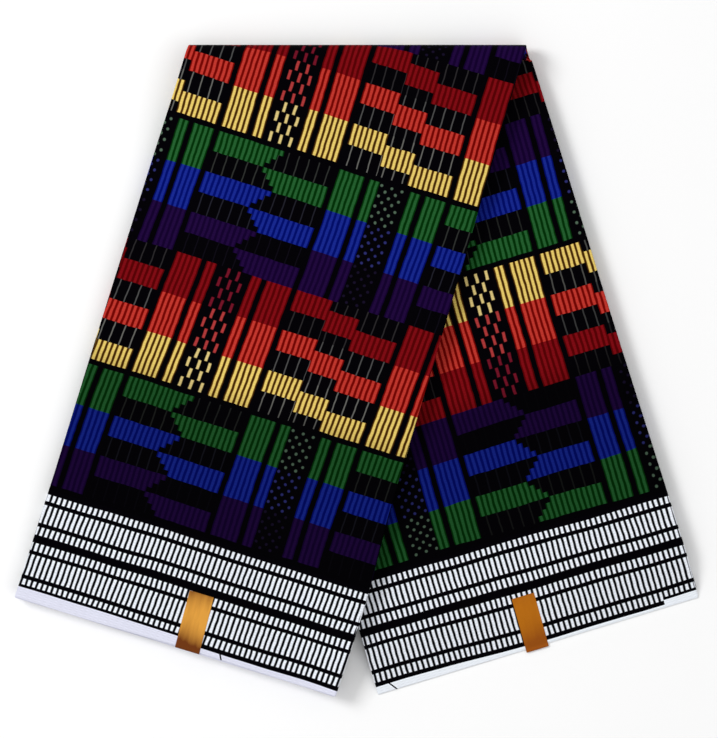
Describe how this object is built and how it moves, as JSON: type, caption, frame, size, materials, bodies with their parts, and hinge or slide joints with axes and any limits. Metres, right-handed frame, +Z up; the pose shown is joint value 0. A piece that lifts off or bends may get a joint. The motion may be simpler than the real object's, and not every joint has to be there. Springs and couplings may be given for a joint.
{
  "type": "wax print fabric",
  "caption": "Folded cut of wax print cotton in striped coloured blocks on black, pleated into a strip and folded over so that its ends splay.",
  "frame": {"origin": "on the table, in the middle of the outline from above", "axes": "+X along the top fold, +Y from the hems up to the top fold, +Z up from the table"},
  "size_m": [0.6318, 0.6056, 0.031],
  "materials": {
    "wax_print": "plain woven cotton, calendered, with a low sheen",
    "gold_foil": "satin gold foil"
  },
  "bodies": {
    "root": {"cloth": "wax_print", "front_label": "gold_foil", "back_label": "gold_foil"}
  },
  "joints": []
}
